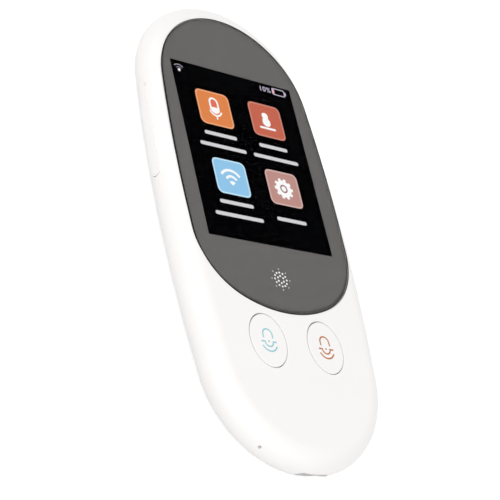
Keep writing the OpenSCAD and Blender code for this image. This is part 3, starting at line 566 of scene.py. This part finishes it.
def shape_rim(piece, side, spread, width):
    """Moves this piece's wall in a talk button's gap by the spread and rounds its upper edge.

    A cap sits a hair low and to the right in its opening.
    """
    def near_rim(point):
        return RIM_INSIDE < from_button(point, side) < RIM_OUTSIDE

    def is_wall(vertex):
        return near_rim(vertex.co) and vertex.co.z > RIM_BOTTOM * MM

    def is_rim(edge):
        high = all(v.co.z > (BODY_TOP - RIM_TOP_REACH) * MM for v in edge.verts)
        sharp = len(edge.link_faces) == 2 and edge.calc_face_angle(0) > SHARP_ANGLE
        return high and sharp and near_rim(edge.verts[0].co)

    pick(piece, "VERT", is_wall)
    bpy.ops.transform.resize(
        value=(1 + spread / BUTTON_HALF_W, 1 + spread / BUTTON_HALF_L, 1),
        center_override=(side * BUTTON_X * MM, BUTTON_Y * MM, BODY_TOP * MM))
    if spread < 0:
        bpy.ops.transform.translate(value=(CAP_SHIFT[0] * MM, CAP_SHIFT[1] * MM, 0))
    pick(piece, "EDGE", is_rim)
    bpy.ops.mesh.bevel(offset=width * MM, segments=3, affect="EDGES", loop_slide=False)
    bpy.ops.mesh.select_mode(type="VERT")


def shape_openings(piece):
    """The two button openings in the front housing."""
    bpy.ops.mesh.dissolve_limited(angle_limit=FLAT_ANGLE)
    for side in (-1, 1):
        shape_rim(piece, side, RIM_SPREAD, OPENING_ROUND)


def shape_cap(piece):
    """A button cap: faces outside the sign's field are joined, then its rim is rounded."""
    side = 1 if piece.data.vertices[0].co.x > 0 else -1
    middle_x, middle_y = side * BUTTON_X, BUTTON_Y

    def outside_field(face):
        middle = face.calc_center_median()
        in_width = abs(middle.x - middle_x * MM) < SIGN_HALF_W * MM
        in_length = abs(middle.y - middle_y * MM) < SIGN_HALF_L * MM
        return not (in_width and in_length)

    for direction, reach in (((1, 0, 0), SIGN_HALF_W), ((0, 1, 0), SIGN_HALF_L)):
        for end in (-1, 1):
            bpy.ops.mesh.select_all(action="SELECT")
            bpy.ops.mesh.bisect(
                plane_co=((middle_x + end * reach) * MM, (middle_y + end * reach) * MM, 0),
                plane_no=direction)
    pick(piece, "FACE", outside_field)
    bpy.ops.mesh.dissolve_limited(angle_limit=FLAT_ANGLE)
    shape_rim(piece, side, -RIM_SPREAD, CAP_ROUND)


def fill_key_slot(piece):
    """Stretches a side key until only a hairline of its slot is left, but for its low end."""
    low = min(v.co.y for v in piece.data.vertices)
    length = max(v.co.y for v in piece.data.vertices) - low
    bpy.ops.mesh.select_all(action="SELECT")
    bpy.ops.transform.resize(
        value=(1, 1 + KEY_GROW * MM / length, KEY_STRETCH),
        center_override=(0, low, KEY_MIDDLE * MM))


def build_outside():
    shell = FINISHES["white_shell"]
    keys = FINISHES["white_keys"]
    dressed_copy(
        "front_housing", "front_shell", "device", "white_shell", shell, shape=shape_openings)
    dressed_copy("back_cover", "back_shell", "device", "white_shell", shell)
    for node, name, body, shape in (
        ("left_talk_button", "left_button_cap", "left_talk", shape_cap),
        ("right_talk_button", "right_button_cap", "right_talk", shape_cap),
        ("volume_rocker", "volume_key", "volume", fill_key_slot),
        ("power_key", "power_key_cap", "power", fill_key_slot),
    ):
        dressed_copy(node, name, body, "white_keys", keys, shape=shape)
    dressed_copy("usb_socket", "charging_shell", "device", "steel", FINISHES["steel"])
    glass = dressed_copy(
        "lens", "cover_lens", "device", "cover_glass", FINISHES["cover_glass"], PAINTED_GLASS_EDGE_SHADE)
    # Painted shade: the lens's side faces, except the grille holes, take the near-black edge
    # finish
    for face in glass.data.polygons:
        from_grille = math.hypot(face.center.x, face.center.y - GRILLE_Y * MM)
        if abs(face.normal.z) < EDGE_NORMAL and from_grille > GRILLE_REACH * MM:
            face.material_index = 1
    build_mark("left_button_mark", "left_sign", "left_talk", "blue_mark")
    build_mark("right_button_mark", "right_sign", "right_talk", "orange_mark")
    build_painted_edge_shade()
    build_side_mesh()


def fatten_lines(piece):
    """Fattens a sign's lines until they fill their grooves, a hair under the cap's face."""
    low = min(v.co.z for v in piece.data.vertices)
    bpy.ops.transform.shrink_fatten(value=LINE_FATTEN * MM)
    bpy.ops.transform.resize(
        value=(1, 1, LINE_DEPTH / LINE_DEPTH_BEFORE),
        center_override=(0, 0, low + LINE_LEVEL * MM))


def build_mark(node, name, body, slot):
    """A talk button's coloured sign, with its small dot in a duller tone."""
    sign = dressed_copy(node, name, body, slot, FINISHES[slot], MARK_DOT, shape=fatten_lines)
    low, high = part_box(node)
    middle = Vector(((low[0] + high[0]) / 2, (low[1] + high[1]) / 2))
    for face in sign.data.polygons:
        if (Vector(face.center[:2]) - middle).length < DOT_REACH * MM:
            face.material_index = 1


def lens_arcs():
    """The lens outline's arcs: x, y, radius, start, end and steps, for the low and high half."""
    reach = math.hypot(SIDE_X, LOW_Y - SIDE_Y)
    from_side, from_low = SIDE_R - CORNER_R, LOW_R - CORNER_R
    along = (reach**2 + from_side**2 - from_low**2) / (2 * reach)
    across = math.sqrt(from_side**2 - along**2)
    rise = LOW_Y - SIDE_Y
    x = -SIDE_X + (along * SIDE_X + across * rise) / reach
    y = SIDE_Y + (along * rise - across * SIDE_X) / reach
    low_turn = math.degrees(math.atan2(y - LOW_Y, x))
    side_turn = math.degrees(math.atan2(y - SIDE_Y, x + SIDE_X))
    top_turn = math.degrees(math.atan2(TOP_Y - SIDE_Y, SIDE_X))
    top_r = SIDE_R - math.hypot(SIDE_X, TOP_Y - SIDE_Y)
    low = [
        (0, LOW_Y, LOW_R, -180 - low_turn, low_turn, 24),
        (x, y, CORNER_R, low_turn, side_turn, 30),
        (-x, y, CORNER_R, 180 - side_turn, 180 - low_turn, 30),
    ]
    high = [
        (-SIDE_X, SIDE_Y, SIDE_R, side_turn, top_turn, 16),
        (0, TOP_Y, top_r, top_turn, 180 - top_turn, 48),
        (SIDE_X, SIDE_Y, SIDE_R, 180 - top_turn, 180 - side_turn, 16),
    ]
    return low, high


def build_painted_edge_shade():
    """The painted shade under the lens edge: a dark band that widens towards the lower end."""
    layer = start_layer("lens_painted_edge_shade")
    z = (PRINT_TOP + SHADE_LIFT) * MM
    low, high = lens_arcs()
    for x, y, r, start, end, steps in low + high:
        before = len(bmesh.from_edit_mesh(layer.data).verts)
        inner, outer = (r - SHADE_INNER) * MM, (r - SHADE_OUTER) * MM
        band(x * MM, y * MM, z, inner, outer, start, end, steps)
        if (x, y, r, start, end, steps) in high:
            continue
        bpy.ops.mesh.select_all(action="DESELECT")
        mesh = bmesh.from_edit_mesh(layer.data)
        mesh.verts.ensure_lookup_table()
        for vertex in mesh.verts[before:]:
            from_middle = math.hypot(vertex.co.x - x * MM, vertex.co.y - y * MM)
            vertex.select = from_middle < (inner + outer) / 2
        bmesh.update_edit_mesh(layer.data)
        bpy.ops.transform.translate(value=(0, SHADE_WIDEN * MM, 0))
    finish_layer(SHADE_THICK)
    place(layer, "lens_painted_edge_shade", "device", "grey_print", PAINTED_EDGE_SHADE)


def build_side_mesh():
    """The small mesh disc behind the side microphone hole."""
    deselect_all()
    bpy.ops.mesh.primitive_cylinder_add(
        vertices=24, radius=DISC_R * MM, depth=DISC_DEPTH * MM,
        location=[middle * MM for middle in SIDE_MIC],
        rotation=(math.radians(90), 0, SIDE_MIC_TURN))
    disc = bpy.context.object
    open_mesh(disc)
    bpy.ops.mesh.bevel(offset=DISC_ROUND * MM, segments=2, affect="EDGES")
    close_mesh()
    place(disc, "side_mic_mesh", "device", "white_mesh", FINISHES["white_mesh"])


# ---------- the lit menu ----------


def start_layer(name):
    """An empty mesh in edit mode, for flat shapes."""
    deselect_all()
    bpy.ops.mesh.primitive_plane_add(size=0.001)
    layer = bpy.context.object
    layer.name = name
    bpy.ops.object.mode_set(mode="EDIT")
    bpy.ops.mesh.select_all(action="SELECT")
    bpy.ops.mesh.delete(type="VERT")
    return layer


def finish_layer(thick):
    """Gives the flat shapes their thickness."""
    bpy.ops.mesh.select_all(action="SELECT")
    bpy.ops.mesh.normals_make_consistent(inside=False)
    bpy.ops.mesh.extrude_region_move(TRANSFORM_OT_translate={"value": (0, 0, thick * MM)})
    bpy.ops.mesh.select_all(action="SELECT")
    bpy.ops.mesh.normals_make_consistent(inside=False)
    close_mesh()


def set_in_display(layer, thick, finish):
    """Gives a layer of the menu its thickness and sets it on the display."""
    finish_layer(thick)
    place(layer, layer.name, "device", "display", finish)


def plate(x, y, z, width, height, corner=0.0, turn=0.0, wall=0.0):
    """A flat plate with rounded corners in the open mesh, or a frame of this wall."""
    x, y, z, width, height = x * MM, y * MM, z * MM, width * MM, height * MM
    bpy.ops.mesh.select_all(action="DESELECT")
    bpy.ops.mesh.primitive_plane_add(size=1, location=(x, y, z))
    bpy.ops.transform.resize(value=(width, height, 1), center_override=(x, y, z))
    if corner:
        offset = min(corner * MM, 0.499 * min(width, height))
        bpy.ops.mesh.bevel(offset=offset, affect="VERTICES", segments=7, clamp_overlap=False)
    if turn:
        bpy.ops.mesh.select_linked()
        bpy.ops.transform.rotate(
            value=-math.radians(turn), orient_axis="Z", center_override=(x, y, z))
    if wall:
        bpy.ops.mesh.select_mode(type="FACE")
        bpy.ops.mesh.inset(thickness=wall * MM)
        bpy.ops.mesh.delete(type="FACE")
        bpy.ops.mesh.select_mode(type="VERT")


def band(x, y, z, inner, outer, start, end, steps):
    """A flat arc from start to end degrees, counterclockwise, in the open mesh."""
    bpy.ops.mesh.select_all(action="DESELECT")
    middle = (inner + outer) / 2
    bpy.ops.mesh.primitive_plane_add(size=1, location=(x + middle, y, z))
    bpy.ops.transform.resize(value=(outer - inner, 0.0, 1), center_override=(x + middle, y, z))
    bpy.ops.mesh.remove_doubles(threshold=1e-7)
    bpy.ops.transform.rotate(
        value=-math.radians(start), orient_axis="Z", center_override=(x, y, z))
    bpy.ops.mesh.spin(
        steps=steps, angle=math.radians(end - start), center=(x, y, z), axis=(0, 0, -1))
    if end - start >= 360:
        bpy.ops.mesh.select_linked()
        bpy.ops.mesh.remove_doubles(threshold=1e-7)


def arc(x, y, z, inner, outer, start, end, steps=16):
    """The same in millimetres."""
    band(x * MM, y * MM, z * MM, inner * MM, outer * MM, start, end, steps)


TILES = [
    # name, middle x and y, width and height in millimetres, lit colour, rim colour
    ("speech_tile", -8.16, 28.93, 10.2, 9.72, (0.75, 0.235, 0.072), (0.88, 0.40, 0.20)),
    ("desk_tile", 8.32, 29.2, 10.3, 9.75, (0.56, 0.132, 0.08), (0.62, 0.25, 0.19)),
    ("network_tile", -7.93, 9.92, 10.0, 9.57, (0.283, 0.571, 0.831), (0.56, 0.8, 0.95)),
    ("settings_tile", 8.4, 9.96, 10.2, 9.6, (0.515, 0.275, 0.242), (0.68, 0.46, 0.43)),
]


def build_tile(name, x, y, width, height, colour, rim):
    """A rounded menu tile with a lighter rim."""
    layer = start_layer(name)
    plate(x, y, TILE_LEVEL, width, height, TILE_CORNER)
    bpy.ops.mesh.select_all(action="SELECT")
    bpy.ops.mesh.inset(thickness=TILE_RIM * MM)
    finish_layer(FLAT_THICK)
    words = name.replace("_", " ")
    field, edge = lit(words + " light", colour), lit(words + " rim", rim)
    place(layer, name, "device", "display", field, edge)
    for face in layer.data.polygons:
        if math.hypot(face.center.x - x * MM, face.center.y - y * MM) > TILE_FIELD * MM:
            face.material_index = 1


def build_menu():
    """The four tiles, their signs and the bars under them."""
    z = SIGN_LEVEL
    white = lit("white menu light", (0.97, 0.97, 0.97))
    for tile in TILES:
        build_tile(*tile)

    symbols = start_layer("menu_symbols")
    # talking microphone
    x, y = -8.1, 28.94
    plate(x, y + 0.9, z, 2.9, 4.6, 1.44, wall=0.52)
    plate(x, y - 0.3, z, 1.88, 1.4, 0.3)
    arc(x + 0.07, y - 0.15, z, 1.62, 2.07, 197, 343)
    plate(x + 0.15, y - 2.62, z, 0.42, 0.85, 0.1)
    # desk microphone
    x, y = 8.15, 28.94
    plate(x - 0.08, y + 1.6, z, 2.0, 1.95, 0.95)
    plate(x, y - 0.15, z, 2.5, 2.5, 1.1)
    plate(x, y - 1.95, z, 5.1, 0.6, 0.25)
    # signal sign in the corner
    plate(-16.7, 37.98, z, 0.7, 0.8, 0.3)
    # network fan
    x, y = -8.03, 8.48
    arc(x, y, z, 3.02, 3.7, 36, 146, 24)
    arc(x, y, z, 1.4, 2.05, 30, 150, 20)
    arc(x + 0.05, y - 0.75, z, 0.05, 1.2, 42, 138)
    # settings wheel
    x, y = 8.37, 9.93
    plate(x, y, z, 1.5, 1.5, 0.75)
    arc(x, y, z, 1.15, 2.35, 0, 360, 40)
    for tooth in range(0, 360, 36):
        turn = math.radians(tooth)
        plate(x + 2.5 * math.cos(turn), y + 2.5 * math.sin(turn), z, 0.75, 0.85, 0.15, tooth)
    set_in_display(symbols, FLAT_THICK, white)

    core = start_layer("speech_core")
    plate(-8.1, 30.5, z, 1.84, 2.3, 0.9)
    set_in_display(core, SIGN_THICK, lit("red sign light", (0.78, 0.16, 0.1)))

    groove = start_layer("wheel_groove")
    arc(8.37, 9.93, z, 0.76, 1.14, 0, 360, 32)
    set_in_display(groove, SIGN_THICK, lit("brown sign light", (0.3, 0.15, 0.14)))

    # plain bars in the place of captions: middle x and y, width
    bars = start_layer("menu_captions")
    for x, y, width in (
        (-8.13, 21.5, 9.8), (-8.13, 18.2, 14.0), (8.32, 21.5, 9.0), (8.32, 18.2, 14.2),
        (-8.13, 2.85, 10.1), (-8.13, -0.55, 14.4), (8.4, 1.1, 9.3),
    ):
        plate(x, y, z, width, 1.0, 0.45)
    set_in_display(bars, FLAT_THICK, lit("caption light", (0.66, 0.66, 0.68)))


def build_status_bar():
    """Signal arcs, battery frame with its low charge, and the number beside it."""
    z = SIGN_LEVEL
    status = lit("status light", (0.66, 0.62, 0.78))
    signs = start_layer("status_signs")
    arc(-16.7, 37.7, z, 1.76, 1.9, 42, 134)
    arc(-16.7, 37.7, z, 1.07, 1.16, 46, 134)
    plate(14.92, 39.12, z, 4.15, 2.0, 0.4, wall=0.21)
    plate(17.24, 39.12, z, 0.34, 0.95, 0.1)
    set_in_display(signs, FLAT_THICK, status)

    charge = start_layer("status_charge")
    plate(13.35, 39.12, z, 0.55, 1.3, 0.1)
    set_in_display(charge, FLAT_THICK, lit("pink sign light", (0.8, 0.42, 0.5)))

    deselect_all()
    bpy.ops.object.text_add()
    number = bpy.context.object
    number.data.body = "10%"
    number.data.size = 2 * MM
    number.data.extrude = FLAT_THICK / 2 * MM
    number.data.space_character = 1.1
    bpy.ops.object.convert(target="MESH")
    across = [v.co.x for v in number.data.vertices]
    up = [v.co.y for v in number.data.vertices]
    wide, tall = max(across) - min(across), max(up) - min(up)
    number.scale = (NUMBER_W * MM / wide, NUMBER_H * MM / tall, 1)
    number.location = (NUMBER_AT[0] * MM, NUMBER_AT[1] * MM, (z + NUMBER_LIFT) * MM)
    place(number, "status_number", "device", "display", status)


# ---------- all together ----------

set_camera()
set_studio()
set_floor()
dress_inner_nodes()
build_outside()
build_menu()
build_status_bar()
